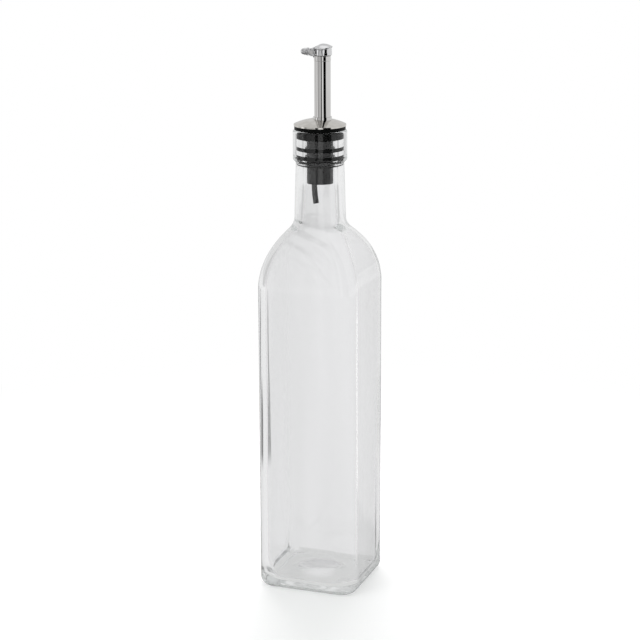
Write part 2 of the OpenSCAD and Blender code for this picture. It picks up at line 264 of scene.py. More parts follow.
def skin(name, grid, first_pole=None, last_pole=None):
    """Smooth mesh over a grid of points in millimetres that closes on itself along its second axis.

    Faces join (i, j), (i, j+1), (i+1, j+1), (i+1, j). A pole closes an end with a fan; with no pole at
    either end, the last ring joins the first, as on a torus.
    """
    rows, cols = grid.shape[:2]
    points = grid.reshape(-1, 3)
    j = np.arange(cols)
    k = (j + 1) % cols
    torus = first_pole is None and last_pole is None
    i = np.arange(rows if torus else rows - 1)[:, None]
    up = (i + 1) % rows
    quads = np.stack([i * cols + j, i * cols + k, up * cols + k, up * cols + j], -1)
    faces = quads.reshape(-1, 4).tolist()
    last_ring = (rows - 1) * cols
    for pole, pair in ((first_pole, (k, j)), (last_pole, (last_ring + j, last_ring + k))):
        if pole is not None:
            faces += np.stack([np.full(cols, len(points)), *pair], -1).tolist()
            points = np.vstack([points, pole])
    mesh = bpy.data.meshes.new(name)
    mesh.from_pydata((points * MM).tolist(), [], faces)
    mesh.polygons.foreach_set("use_smooth", [True] * len(mesh.polygons))
    mesh.update()
    piece = bpy.data.objects.new(name, mesh)
    bpy.context.scene.collection.objects.link(piece)
    return piece


# ---------------------------------------------------------------------------
# Glass bottle
# ---------------------------------------------------------------------------
def faded(half, corner, z, top_z):
    """Corner radius on the shoulder: corner + (half - corner) * climb ^ CORNER_FADE, climb from 0 to 1."""
    climb = np.clip((z - SHOULDER_Z) / (top_z - SHOULDER_Z), 0, 1)
    return corner + (half - corner) * climb**CORNER_FADE


def shoulder_rows(convex_r, concave_r, corner, top_z, rings):
    """Half width, corner radius and height up the shoulder: a convex arc, then a concave one to the neck.

    The arcs share the tangent whose lean is the slope of the line between their centres.
    """
    lean = math.atan2(top_z - SHOULDER_Z, ROOT_X - ARC_X)
    a = ramp(rings["convex"], 0, lean, False)
    b = ramp(rings["concave"], lean, 0)
    half = np.concatenate([ARC_X + convex_r * np.cos(a), ROOT_X - concave_r * np.cos(b)])
    z = np.concatenate([SHOULDER_Z + convex_r * np.sin(a), top_z - concave_r * np.sin(b)])
    return np.stack([half, faded(half, corner, z, top_z), z])


def round_rows(radius, z):
    """Rows of plain circles: the corner radius equals the half width."""
    return np.stack([radius, radius, z])


def outer_rows():
    """Profile of the glass's outside, from the middle of the base up to the rim.

    Half width, corner radius and height of each ring: a hollow PUSHUP_H (1 - (r / PUSHUP_R)^2)^2, the flat
    foot, a quarter-round heel, the upright wall, the shoulder's two arcs, the straight neck, the collar's
    soft step, the collar and its quarter-round lip.
    """
    rings = OUTER_RINGS
    r = ramp(rings["hollow"], FIRST_RING_R, PUSHUP_R)
    hollow = round_rows(r, PUSHUP_H * (1 - (r / PUSHUP_R) ** 2) ** 2)
    u = ramp(rings["foot"], last=False)[1:]
    foot_half, foot_corner = HALF_WIDTH - HEEL_R, CORNER_R - HEEL_R
    half = PUSHUP_R + (foot_half - PUSHUP_R) * u
    foot = np.stack([half, half + (foot_corner - half) * soft_step(u), np.zeros_like(u)])
    a = ramp(rings["heel"], 0, QUARTER, False)
    inset = HEEL_R * (1 - np.sin(a))
    heel = np.stack([HALF_WIDTH - inset, CORNER_R - inset, HEEL_R * (1 - np.cos(a))])
    z = ramp(rings["wall"], HEEL_R, SHOULDER_Z, False)
    wall = np.stack([np.full_like(z, HALF_WIDTH), np.full_like(z, CORNER_R), z])
    shoulder = shoulder_rows(SHOULDER_R, NECK_ROOT_R, CORNER_R, NECK_ROOT_Z, rings)
    collar_low = RIM_Z - COLLAR_H
    taper_low = collar_low - COLLAR_TAPER_H
    u = ramp(rings["neck"])[1:]
    neck = round_rows(NECK_R + (NECK_TOP_R - NECK_R) * u, NECK_ROOT_Z + (taper_low - NECK_ROOT_Z) * u)
    step = round_rows(NECK_TOP_R + (COLLAR_R - NECK_TOP_R) * soft_step(u), taper_low + COLLAR_TAPER_H * u)
    u = ramp(rings["collar"])[1:]
    collar = round_rows(np.full_like(u, COLLAR_R), collar_low + (COLLAR_H - RIM_ROUND) * u)
    a = ramp(rings["lip"], 0, QUARTER)[1:]
    lip = round_rows(COLLAR_R - RIM_ROUND * (1 - np.cos(a)), RIM_Z - RIM_ROUND * (1 - np.sin(a)))
    return np.concatenate([hollow, foot, heel, wall, shoulder, neck, step, collar, lip], axis=1)


def corner_fill(z):
    """Extra corner radius of the cavity near its floor, where blown glass gathers in the corners."""
    return CORNER_FILL * soft_step((CORNER_FILL_TOP - z) / (CORNER_FILL_TOP - FLOOR_Z))


def inner_rows():
    """Profile of the cavity, from the rim down the bore and neck to the middle of the inside floor.

    Half width, corner radius and height of each ring: the mouth's quarter-round edge, the straight bore, a
    straight flare, the shoulder's two arcs, the upright wall, a quarter-round bend and the flat floor.
    """
    rings = INNER_RINGS
    bore = BORE_R - SEAL_CONTACT
    a = ramp(rings["mouth"], 0, QUARTER)
    mouth = round_rows(bore + MOUTH_EDGE_R * (1 - np.sin(a)), RIM_Z - MOUTH_EDGE_R * (1 - np.cos(a)))
    u = ramp(rings["seat"])[1:]
    bore_low = RIM_Z - BORE_LEN
    seat_top = RIM_Z - MOUTH_EDGE_R
    seat = round_rows(np.full_like(u, bore), seat_top + (bore_low - seat_top) * u)
    u = ramp(rings["flare"], last=False)[1:]
    flare = round_rows(bore + (NECK_INNER_R - bore) * u, bore_low + (INNER_ROOT_Z - bore_low) * u)
    shoulder = shoulder_rows(INNER_SHOULDER_R, INNER_ROOT_R, INNER_CORNER_R, INNER_ROOT_Z, rings)[:, ::-1]
    z = ramp(rings["wall"], SHOULDER_Z, FLOOR_Z + FLOOR_BEND_R)[1:]
    wall = np.stack([np.full_like(z, INNER_HALF), INNER_CORNER_R + corner_fill(z), z])
    a = ramp(rings["bend"], QUARTER, 0)[1:]
    inset = FLOOR_BEND_R * (1 - np.sin(a))
    z = FLOOR_Z + FLOOR_BEND_R * (1 - np.cos(a))
    bend = np.stack([INNER_HALF - inset, INNER_CORNER_R + corner_fill(z) - inset, z])
    u = ramp(rings["floor"], last=False)[1:]
    half = (INNER_HALF - FLOOR_BEND_R) * (1 - u)
    bend_corner = bend[1, -1]
    corner = bend_corner + (half - bend_corner) * soft_step(u * FLOOR_ROUNDING)
    floor = np.stack([half, np.minimum(corner, half), np.full_like(u, FLOOR_Z)])
    return np.concatenate([mouth, seat, flare, shoulder, wall, bend, floor], axis=1)


def blown_ripple(p, height, length, phase):
    """Slow unevenness of blown glass, from -height to height: sines and a product of sines along all axes.

    The odd factors only keep the waves from falling in step.
    """
    x, y, z = p[..., 0], p[..., 1], p[..., 2]
    k = 2 * math.pi / length
    a = np.sin(k * z * 0.61 + 1.7 * np.sin(k * 0.35 * (x + y) + phase) + phase)
    b = np.sin(k * (x * 0.8 - y * 0.6) + 0.9 * np.sin(k * 0.21 * z) + 2.1 * phase)
    c = np.sin(k * (x * 0.5 + y * 0.9) * 0.7 + k * 0.16 * z + 3.3 * phase)
    return height * (0.4 * a + 0.35 * b * c + 0.25 * np.sin(k * 0.4 * z + b))


def dents(p):
    """Sum of the dents: each is depth times exp(-(distance across / width)^2 - (distance up / length)^2)."""
    total = np.zeros(p.shape[:-1])
    for x, y, z, across, up, depth in DENTS:
        aside = ((p[..., 0] - x) ** 2 + (p[..., 1] - y) ** 2) / across**2
        total += depth * np.exp(-aside - ((p[..., 2] - z) / up) ** 2)
    return total


def shoulder_folds(p):
    """Shallow folds where the glass chilled on the shoulder: a sine of the drop below the neck's root.

    The drop counts for less towards +x, so that every fold runs down to the right. The folds fade in and
    out with the drop, stop half-way back, and thin out to both sides of x = FOLD_X as a bell curve.
    """
    x, y, z = p[..., 0], p[..., 1], p[..., 2]
    drop = (INNER_ROOT_Z - z) * (1 - FOLD_LEAN * x) - FOLD_START
    belt = soft_step(drop / FOLD_FADE_IN) * soft_step((FOLD_END - drop) / FOLD_FADE_OUT)
    front = soft_step((FOLD_FRONT_Y - y) / FOLD_FADE_BACK) * np.exp(-(((x - FOLD_X) / FOLD_SPREAD) ** 2))
    return FOLD_HEIGHT * belt * front * np.sin(2 * math.pi * drop / FOLD_STEP)


def glass_body():
    """The whole bottle as one closed skin: outside from the base up, over the rim, and down inside.

    Rings from outer_rows and inner_rows are lofted, then moved along their normals. The outside hardly
    moves, because a mould shaped it; the inside takes the ripple of the air, the dents and the folds.
    """
    turn = turns_round()
    outer = lofted(*outer_rows(), turn)
    inner = lofted(*inner_rows(), turn)
    grid = np.concatenate([outer, inner])
    normal = grid_normals(grid)
    inside = (np.arange(len(grid)) >= len(outer))[:, None]
    z = grid[..., 2]
    below_bore = soft_step((RIM_Z - BORE_LEN - z) / BORE_FADE)
    near_floor = soft_step((FLOOR_RIPPLE_TOP - z) / FLOOR_FADE)
    ripple = blown_ripple(grid, *CAVITY_RIPPLE) + near_floor * blown_ripple(grid, *FLOOR_RIPPLE)
    inner_move = below_bore * (ripple + dents(grid) + shoulder_folds(grid))
    off_foot = soft_step((z - FOOT_CLEAR) / FOOT_FADE)
    below_neck = soft_step((NECK_ROOT_Z - z) / NECK_FADE)
    outer_move = below_neck * off_foot * blown_ripple(grid, *OUTSIDE_RIPPLE)
    grid = grid + normal * np.where(inside, inner_move, outer_move)[..., None]
    grid[..., :2] = np.clip(grid[..., :2], -HALF_WIDTH, HALF_WIDTH)
    return skin("glass_wall", grid, [0, 0, outer[0, 0, 2]], [0, 0, grid[-1, :, 2].mean()])


# ---------------------------------------------------------------------------
# Flap, in millimetres
# ---------------------------------------------------------------------------
HINGE_X = -3.9
HINGE_Z = RIM_Z + 42.1

CAP_X = 2.05
CAP_R = 5.05
CAP_LOW = RIM_Z + 40.5
# Skirt: half its thickness, how far it stands in from the crown's lip and below the crown's rim, and the
# angle on either side of the front where it ends, in radians.
SKIRT_HALF_WALL = 0.30
SKIRT_INSET = 0.35
SKIRT_DROP = 0.20
SKIRT_END = 2.12
SKIRT_POWER = 10

CROWN_TOP = RIM_Z + 46.7
CROWN_CEILING = CROWN_TOP - 2.6
CROWN_BACK = 4.25
CROWN_BACK_POWER = 2.5
CROWN_LIP = 0.45
# Rim of the crown: height at the cap's sides, rise to its front and back, and slope along x.
CROWN_EDGE = RIM_Z + 44.0
CROWN_SADDLE = 1.0
CROWN_SLOPE = 0.02

# Tongue: its two ends, the arc of its top, and the soft step of its underside.
TONGUE_BACK, TONGUE_FRONT = HINGE_X - 1.25, 0.6
TONGUE_ARC_X, TONGUE_ARC_Z, TONGUE_ARC_R = 4.1, RIM_Z + 32.64, 14.0
TONGUE_STEP_X, TONGUE_STEP_LEN = HINGE_X + 0.2, 1.3
TONGUE_STEP_TOP = RIM_Z + 43.5
TONGUE_POWER = 6

# Barrel about the pin; the tongue is as wide.
KNUCKLE_R = 1.45
KNUCKLE_HALF = 1.45
KNUCKLE_ROUND = 0.2

TAIL_X = -6.35
TAIL_LEN = 4.6
# Distance from the tail's root, and radius there; the tip is rounded from the last on.
TAIL_PROFILE = (
    (0.0, 1.95),
    (0.14, 2.17),
    (0.95, 2.10),
    (1.15, 1.80),
    (1.40, 1.92),
    (2.55, 1.84),
    (2.80, 1.58),
    (3.00, 1.66),
)

# Blade: bar from the knuckle into the tail.
BLADE_BACK, BLADE_FRONT = TAIL_X - 2.0, HINGE_X - 0.7
BLADE_HALF_WIDTH = 0.7
BLADE_HALF_HEIGHT = 1.2
BLADE_POWER = 6

EAR_R = 2.15
EAR_IN, EAR_OUT = 1.6, 2.6
EAR_ROUND = 0.3
EAR_FACE_RINGS = 5
# Foot of the ear: the way it runs from the pin, its length and half its width.
FOOT_WAY = math.atan2(-3.2, 2.1)
FOOT_LEN = 3.6
FOOT_HALF = 0.6

SPOUT_X = 1.5
SPOUT_R = 4.5
BAND_LOW = RIM_Z + 37.5
BAND_H = 2.75
# The band's wall: half its thickness, and how far its middle lies outside the tube.
BAND_HALF_WALL = 0.08
BAND_OUT = 0.02
BAND_POWER = 4


def crown_reach(turn):
    """Outline of the crown: a circle at the front, flattened behind.

    Behind, it is (|cos / CROWN_BACK|^p + |sin / CAP_R|^p) ^ (-1 / p), p being CROWN_BACK_POWER.
    """
    c, s = np.abs(np.cos(turn)), np.abs(np.sin(turn))
    power = CROWN_BACK_POWER
    flat = ((c / CROWN_BACK) ** power + (s / CAP_R) ** power) ** (-1 / power)
    return np.where(np.cos(turn) > 0, CAP_R, flat)


def crown_edge_z(x):
    """Height of the crown's rim: a saddle, low at the cap's two sides and higher before and behind."""
    return CROWN_EDGE + CROWN_SADDLE * ((x - CAP_X) / CAP_R) ** 2 + CROWN_SLOPE * (x - CAP_X)


def crown():
    """Lens that closes the cap: a ceiling, a half-round lip about the rim, and a dome.

    Ceiling and dome are level in their middle and run out to the lip with the square of the way there:
    middle + (lip - middle) * share^2, from CROWN_CEILING for the one and from CROWN_TOP for the other.
    """
    turn = full_turn(144)
    reach = crown_reach(turn)
    inner = reach - CROWN_LIP
    # Shares of the way out, q for the ceiling and p for the dome, that stop just short of poles and lip.
    q = ramp(10, 0.08, 0.97)[:, None]
    p = ramp(30, 0.985, 0.04)[:, None]
    bend = ramp(15, -QUARTER, QUARTER)[:, None]
    far = np.concatenate([q * inner, inner + CROWN_LIP * np.cos(bend), p * inner])
    edge = crown_edge_z(CAP_X + reach * np.cos(turn))
    under = CROWN_CEILING + (edge - CROWN_LIP - CROWN_CEILING) * q**2
    lip = edge + CROWN_LIP * np.sin(bend)
    dome = CROWN_TOP - (CROWN_TOP - edge - CROWN_LIP) * p**2
    grid = grid_of(CAP_X + far * np.cos(turn), far * np.sin(turn), np.concatenate([under, lip, dome]))
    return skin("crown", grid, [CAP_X, 0, CROWN_CEILING], [CAP_X, 0, CROWN_TOP])


def tongue():
    """Bar from the knuckle to the crown: superellipse sections of power TONGUE_POWER carried along x.

    The top follows a circle of radius TONGUE_ARC_R; the underside climbs from the pin's height to
    TONGUE_STEP_TOP with a soft step.
    """
    x = ramp(44, TONGUE_BACK, TONGUE_FRONT)
    top = TONGUE_ARC_Z + np.sqrt(TONGUE_ARC_R**2 - (x - TONGUE_ARC_X) ** 2)
    low = HINGE_Z + (TONGUE_STEP_TOP - HINGE_Z) * soft_step((x - TONGUE_STEP_X) / TONGUE_STEP_LEN)
    half, middle = (top - low) / 2, (top + low) / 2
    u, v = superellipse(full_turn(36), TONGUE_POWER)
    grid = grid_of(x[:, None], KNUCKLE_HALF * u, middle[:, None] + half[:, None] * v)
    return skin("tongue", grid, [x[0], 0, middle[0]], [x[-1], 0, middle[-1]])


def skirt():
    """Cap's side: an upright section carried round an arc that leaves the back open.

    The section is |u / a|^p + |v / b|^p = 1, p being SKIRT_POWER; its top follows the crown's rim.
    """
    arc = ramp(96, -SKIRT_END, SKIRT_END)
    loop = full_turn(44)
    u = signed_power(np.cos(loop), 2 / SKIRT_POWER)
    v = signed_power(np.sin(loop), 2 / SKIRT_POWER)
    top = crown_edge_z(CAP_X + CAP_R * np.cos(arc)) - SKIRT_DROP
    half, middle = (top - CAP_LOW) / 2, (top + CAP_LOW) / 2
    r = CAP_R - SKIRT_INSET - SKIRT_HALF_WALL + SKIRT_HALF_WALL * u
    x = CAP_X + np.cos(arc)[:, None] * r
    y = np.sin(arc)[:, None] * r
    grid = grid_of(x, y, middle[:, None] + half[:, None] * v)[:, ::-1]
    return skin("skirt", grid, grid[0].mean(0), grid[-1].mean(0))


def blade():
    """Bar with soft edges that the tail grips: upright rows of the superellipse |x / a|^p + |y / b|^p = 1.

    The rows shrink towards the bottom and the top along the same curve, p being BLADE_POWER.
    """
    middle_x, half_x = (BLADE_BACK + BLADE_FRONT) / 2, (BLADE_FRONT - BLADE_BACK) / 2
    u, v = superellipse(full_turn(40), BLADE_POWER)
    tilt = ramp(17, -QUARTER, QUARTER)[1:-1, None]
    out = np.cos(tilt) ** (2 / BLADE_POWER)
    z = HINGE_Z + BLADE_HALF_HEIGHT * signed_power(np.sin(tilt), 2 / BLADE_POWER)
    grid = grid_of(middle_x + half_x * out * u, BLADE_HALF_WIDTH * out * v, z)
    first_pole = [middle_x, 0, HINGE_Z - BLADE_HALF_HEIGHT]
    return skin("blade", grid, first_pole, [middle_x, 0, HINGE_Z + BLADE_HALF_HEIGHT])


def knuckle():
    """Barrel about the hinge pin: circles of radius KNUCKLE_R carried across, with quarter-round ends."""
    across, inset = rounded_bar(-KNUCKLE_HALF, KNUCKLE_HALF, KNUCKLE_ROUND, 6, 6)
    ring = turned(KNUCKLE_R - inset, across, 56)
    grid = grid_of(HINGE_X + ring[..., 0], ring[..., 2], HINGE_Z - ring[..., 1])
    return skin("knuckle", grid, [HINGE_X, -KNUCKLE_HALF, HINGE_Z], [HINGE_X, KNUCKLE_HALF, HINGE_Z])


def tail():
    """Tapered tail turned about its own level axis: a ring, a waist, a body and a round tip.

    The radius runs through TAIL_PROFILE with a soft step between neighbours, and ends in an ellipse.
    """
    d, r = np.array(TAIL_PROFILE).T
    run = ramp(60, 0, d[-1])
    k = np.clip(np.searchsorted(d, run, side="right") - 1, 0, len(d) - 2)
    radius = r[k] + (r[k + 1] - r[k]) * soft_step((run - d[k]) / (d[k + 1] - d[k]))
    a = ramp(22, 0, QUARTER)[1:-1]
    run = np.concatenate([run, d[-1] + (TAIL_LEN - d[-1]) * np.sin(a)])
    radius = np.concatenate([radius, r[-1] * np.cos(a)])
    ring = turned(radius, run, 64)
    grid = grid_of(TAIL_X - ring[..., 2], ring[..., 1], HINGE_Z + ring[..., 0])
    return skin("tail", grid, [TAIL_X, 0, HINGE_Z], [TAIL_X - TAIL_LEN, 0, HINGE_Z])


def ear(name, side):
    """Flat plate with a round eye about the pin and a foot on the band, carried across its thickness.

    Its outline is the larger of EAR_R and the reach of the foot, a bar that ends at FOOT_LEN / cos and is
    FOOT_HALF / sin wide in the angle from FOOT_WAY. The plate's edges are quarter rounds of EAR_ROUND.
    """
    turn = full_turn(96)
    ahead, aside = np.cos(turn - FOOT_WAY), np.abs(np.sin(turn - FOOT_WAY))
    foot = np.minimum(FOOT_LEN / np.maximum(ahead, 1e-3), FOOT_HALF / np.maximum(aside, 1e-3))
    reach = np.maximum(EAR_R, foot * (ahead > 0))
    across, inset = rounded_bar(EAR_IN, EAR_OUT, EAR_ROUND, 9)
    # Rings on the two flat faces, by their share of the way out from the pin.
    face = ramp(EAR_FACE_RINGS, 0.1, 0.9)
    scale = np.concatenate([face, np.ones(len(inset)), face[::-1]])[:, None]
    inset, across = (np.pad(row, EAR_FACE_RINGS, mode="edge")[:, None] for row in (inset, across))
    far = scale * (reach - inset)
    grid = grid_of(HINGE_X + far * np.cos(turn), side * across, HINGE_Z + far * np.sin(turn))
    if side > 0:
        grid = grid[:, ::-1]
    return skin(name, grid, [HINGE_X, side * EAR_IN, HINGE_Z], [HINGE_X, side * EAR_OUT, HINGE_Z])


def band():
    """Ring round the tube: a section |u|^p + |v|^p = 1, p being BAND_POWER, turned about the tube's axis.

    It stands a little higher than the tube's shoulder, so that the ears' feet have something to stand on.
    """
    u, v = superellipse(full_turn(32), BAND_POWER)
    r = SPOUT_R + BAND_OUT + BAND_HALF_WALL * u
    z = BAND_LOW + BAND_H / 2 + BAND_H / 2 * v
    return skin("band", turned(r, z, 96, SPOUT_X))


# ---------------------------------------------------------------------------
# What glass and metal see of the studio
# ---------------------------------------------------------------------------
# A level, then patches of (bearing, half width, near, far, tone): see studio_tone.
THROUGH_GLASS = (
    0.955,
    [
        (0.0, 179.0, 1.00, 9.0, 0.90),
        (0.0, 179.0, 1.60, 9.0, 0.79),
        (-135.0, 5.0, 0.20, 0.60, 0.30),
        (-121.0, 6.0, 0.20, 0.33, 0.20),
        (-104.0, 9.0, 0.95, 9.0, 0.66),
        (150.0, 8.0, 0.95, 9.0, 0.66),
    ],
)
IN_MIRRORS = (
    0.72,
    [
        (0.0, 179.0, 0.0, 0.80, 0.20),
        (162.0, 14.0, 0.0, 0.80, 0.48),
        (182.0, 12.0, 0.0, 0.80, 0.10),
        (138.0, 5.0, 0.15, 0.58, 2.20),
        (-25.0, 20.0, 1.00, 9.0, 0.52),
        (-45.0, 6.0, 1.00, 9.0, 0.30),
        (-61.0, 6.0, 1.00, 9.0, 1.00),
        (-80.0, 8.0, 1.00, 9.0, 0.48),
        (5.0, 6.0, 1.00, 9.0, 0.02),
        (21.0, 5.0, 1.00, 9.0, 0.80),
        (51.0, 17.5, 1.00, 9.0, 0.0),
        (200.0, 50.0, 2.20, 9.0, 0.92),
        (200.0, 60.0, 2.70, 9.0, 0.55),
    ],
)
# Soft edges of a patch: shares of its half width between which it fades, and of near or far.
PATCH_INNER, PATCH_OUTER = 0.85, 1.2
PATCH_WIDEST = 179.0
DISTANCE_FADE = 1.3
DISTANCE_FADE_LEAST = 0.001

# The world's light on the object, the distance at which it is looked up, and its strength in mirrors from
# the first height to the second; a height is the sine of the elevation.
WORLD_LEVEL = 0.40
WORLD_REACH = 2.5
CLIMB_HEIGHTS = (0.84, 0.95)
CLIMB_STRENGTHS = (0.80, 1.14)

# Light added to the floor, and the distances in metres between which it turns to plain white.
FLOOR_LIFT = 0.22
FLOOR_WHITE_FROM, FLOOR_WHITE_AT = 0.10, 0.45

# Light trapped in the glass comes out at these tones, in the base and above, after this many bounces.
BASE_GLOW = 0.34
GLASS_GLOW = 0.84
TRAPPED_AFTER = 11.0
# Places in metres between which the glass changes: the glow, the painted shade on the underside, and the
# painted shade on the heel's outer edge by height and by reach from the axis, and how far that edge's painted
# shade darkens it.
GLOW_Z = (0.012, 0.030)
UNDERSIDE_Z = (0.0004, 0.0022)
HEEL_EDGE_Z = (0.0020, 0.0040)
HEEL_EDGE_REACH = (0.0262, 0.0272)
HEEL_SHADE_SHARE = 0.8

# Values between which nearly all of the raw noise lies.
NOISE_LOW, NOISE_HIGH = 0.3, 0.7
# Places of a Mix node's sockets, whose names repeat: its two floats, its two colours, its colour result.
MIX_FLOATS = (2, 3)
MIX_COLOURS = (6, 7)
MIX_COLOUR_OUT = 2


# ---------------------------------------------------------------------------
# Shader helpers
# ---------------------------------------------------------------------------
def own_node(tree, kind):
    """The node of a kind that a tree comes with."""
    return next(node for node in tree.nodes if node.type == kind)


def new_material(name):
    """New material with a Principled shader on its output, as the material, its tree and the shader."""
    made = bpy.data.materials.new(name)
    made.use_nodes = True
    return made, made.node_tree, own_node(made.node_tree, "BSDF_PRINCIPLED")


def set_inputs(node, values):
    """Set a node's input sockets by name."""
    for name, value in values.items():
        node.inputs[name].default_value = value


def add(tree, kind, **values):
    """New node of a kind, with its properties or its input sockets set by name."""
    node = tree.nodes.new(kind)
    for key, value in values.items():
        if key in node.inputs:
            node.inputs[key].default_value = value
        else:
            setattr(node, key, value)
    return node


def calc(tree, operation, first, second=0.0):
    """Result of a math node on two values, each one a socket or a float."""
    node = add(tree, "ShaderNodeMath", operation=operation)
    for socket, value in zip(node.inputs, (first, second)):
        if isinstance(value, float):
            socket.default_value = value
        else:
            tree.links.new(value, socket)
    return node.outputs[0]


def vector_calc(tree, operation, source, other=None):
    """Result of a vector math node on a socket and, for a product, a fixed vector."""
    node = add(tree, "ShaderNodeVectorMath", operation=operation)
    tree.links.new(source, node.inputs[0])
    if other is not None:
        node.inputs[1].default_value = other
    return node.outputs["Value" if operation in ("LENGTH", "DOT_PRODUCT") else "Vector"]


def node_step(tree, value, start, end, low=0.0, high=1.0):
    """Smooth step of a socket from low at start to high at end."""
    node = add(tree, "ShaderNodeMapRange", interpolation_type="SMOOTHSTEP")
    set_inputs(node, {"From Min": start, "From Max": end, "To Min": low, "To Max": high})
    tree.links.new(value, node.inputs["Value"])
    return node.outputs[0]


def choose(tree, plain, pairs):
    """Shader that starts plain and takes on each pair's shader by the pair's mask, the last one on top."""
    for mask, shader in pairs:
        mix = tree.nodes.new("ShaderNodeMixShader")
        for socket, source in zip(mix.inputs, (mask, plain, shader)):
            tree.links.new(source, socket)
        plain = mix.outputs[0]
    return plain


def grain_group():
    """Group: soft noise on object coordinates, stretched along each axis, as a mask from Low to High."""
    group = bpy.data.node_groups.new("grain", "ShaderNodeTree")
    face = group.interface
    face.new_socket("Scale", in_out="INPUT", socket_type="NodeSocketVector")
    for name in ("Detail", "Low", "High"):
        face.new_socket(name, in_out="INPUT", socket_type="NodeSocketFloat")
    face.new_socket("Mask", in_out="OUTPUT", socket_type="NodeSocketFloat")
    inputs = group.nodes.new("NodeGroupInput")
    outputs = group.nodes.new("NodeGroupOutput")
    where = group.nodes.new("ShaderNodeTexCoord")
    stretch = add(group, "ShaderNodeVectorMath", operation="MULTIPLY")
    noise = add(group, "ShaderNodeTexNoise", Scale=1.0)
    spread = group.nodes.new("ShaderNodeMapRange")
    set_inputs(spread, {"From Min": NOISE_LOW, "From Max": NOISE_HIGH})
    for source, socket in (
        (where.outputs["Object"], stretch.inputs[0]),
        (inputs.outputs["Scale"], stretch.inputs[1]),
        (stretch.outputs[0], noise.inputs["Vector"]),
        (inputs.outputs["Detail"], noise.inputs["Detail"]),
        (noise.outputs["Fac"], spread.inputs["Value"]),
        (inputs.outputs["Low"], spread.inputs["To Min"]),
        (inputs.outputs["High"], spread.inputs["To Max"]),
        (spread.outputs[0], outputs.inputs["Mask"]),
    ):
        group.links.new(source, socket)
    return group


GRAIN = grain_group()


def grain(tree, scale, low=0.0, high=1.0, detail=3.0):
    """One use of the grain group; scale is waves per metre along x, y and z."""
    node = add(tree, "ShaderNodeGroup", node_tree=GRAIN)
    set_inputs(node, {"Scale": scale, "Detail": detail, "Low": low, "High": high})
    return node.outputs["Mask"]


def bump(tree, shader, height, distance, strength=1.0):
    """Bump from a height mask; distance is the full height in metres."""
    node = add(tree, "ShaderNodeBump", Strength=strength, Distance=distance)
    tree.links.new(height, node.inputs["Height"])
    tree.links.new(node.outputs[0], shader.inputs["Normal"])


def two_tone(tree, shader, mask, dark, light):
    """Base colour that runs from dark to light with a mask."""
    mix = add(tree, "ShaderNodeMix", data_type="RGBA")
    for socket, colour in zip(MIX_COLOURS, (dark, light)):
        mix.inputs[socket].default_value = (*colour, 1)
    tree.links.new(mask, mix.inputs["Factor"])
    tree.links.new(mix.outputs[MIX_COLOUR_OUT], shader.inputs["Base Color"])


def studio_tone(tree, where, level, patches):
    """Tone of the studio in a direction from the object's axis: a level, with soft patches laid over it.

    where is a vector from the axis. Each patch is (bearing, half width, near, far, tone): bearing and half
    width in degrees, near and far the distances in metres between which it shows, and tone what it puts
    there. Its edges are soft steps in the cosine of the angle and in the distance. Later patches cover
    earlier ones.
    """
    flat = vector_calc(tree, "MULTIPLY", where, (1, 1, 0))
    distance = vector_calc(tree, "LENGTH", flat)
    direction = vector_calc(tree, "NORMALIZE", flat)
    ground = add(tree, "ShaderNodeValue")
    ground.outputs[0].default_value = level
    tone = ground.outputs[0]
    for bearing, half_width, near, far, patch_tone in patches:
        way = math.radians(bearing)
        outer = math.cos(math.radians(min(PATCH_WIDEST, half_width * PATCH_OUTER)))
        inner = math.cos(math.radians(half_width * PATCH_INNER))
        facing = vector_calc(tree, "DOT_PRODUCT", direction, (math.sin(way), -math.cos(way), 0))
        begin = node_step(tree, distance, near, near * DISTANCE_FADE + DISTANCE_FADE_LEAST)
        end = node_step(tree, distance, far, far * DISTANCE_FADE, 1.0, 0.0)
        span = calc(tree, "MULTIPLY", begin, end)
        mask = calc(tree, "MULTIPLY", node_step(tree, facing, outer, inner), span)
        blend = add(tree, "ShaderNodeMix", data_type="FLOAT")
        tree.links.new(mask, blend.inputs["Factor"])
        tree.links.new(tone, blend.inputs[MIX_FLOATS[0]])
        blend.inputs[MIX_FLOATS[1]].default_value = patch_tone
        tone = blend.outputs[0]
    return tone


def tone_shader(tree, kind, where, table):
    """Emission or background in the tones of THROUGH_GLASS or IN_MIRRORS."""
    shade = add(tree, kind, Strength=1.0)
    tree.links.new(studio_tone(tree, where, *table), shade.inputs["Color"])
    return shade


def ray_kinds(tree):
    """Sockets that are 1 for a camera ray, for one that came through glass, and for one that was mirrored."""
    path = tree.nodes.new("ShaderNodeLightPath")
    through = path.outputs["Is Transmission Ray"]
    mirrored = add(tree, "ShaderNodeMath", operation="SUBTRACT", use_clamp=True)
    tree.links.new(path.outputs["Is Glossy Ray"], mirrored.inputs[0])
    tree.links.new(through, mirrored.inputs[1])
    return path.outputs["Is Camera Ray"], through, mirrored.outputs[0]


# ---------------------------------------------------------------------------
# Materials
# ---------------------------------------------------------------------------
def painted_heel_shade(tree, axes):
    """Painted shade where the glass meets the floor: a mask that is 1 on unshaded glass and falls on the
    underside and on the heel's outer edge.
    """
    x, y, z = axes.outputs
    reach = calc(tree, "MAXIMUM", calc(tree, "ABSOLUTE", x), calc(tree, "ABSOLUTE", y))
    outside = node_step(tree, reach, *HEEL_EDGE_REACH)
    low = node_step(tree, z, *HEEL_EDGE_Z, HEEL_SHADE_SHARE, 0.0)
    unshaded = calc(tree, "SUBTRACT", 1.0, calc(tree, "MULTIPLY", outside, low))
    return calc(tree, "MULTIPLY", node_step(tree, z, *UNDERSIDE_Z), unshaded)


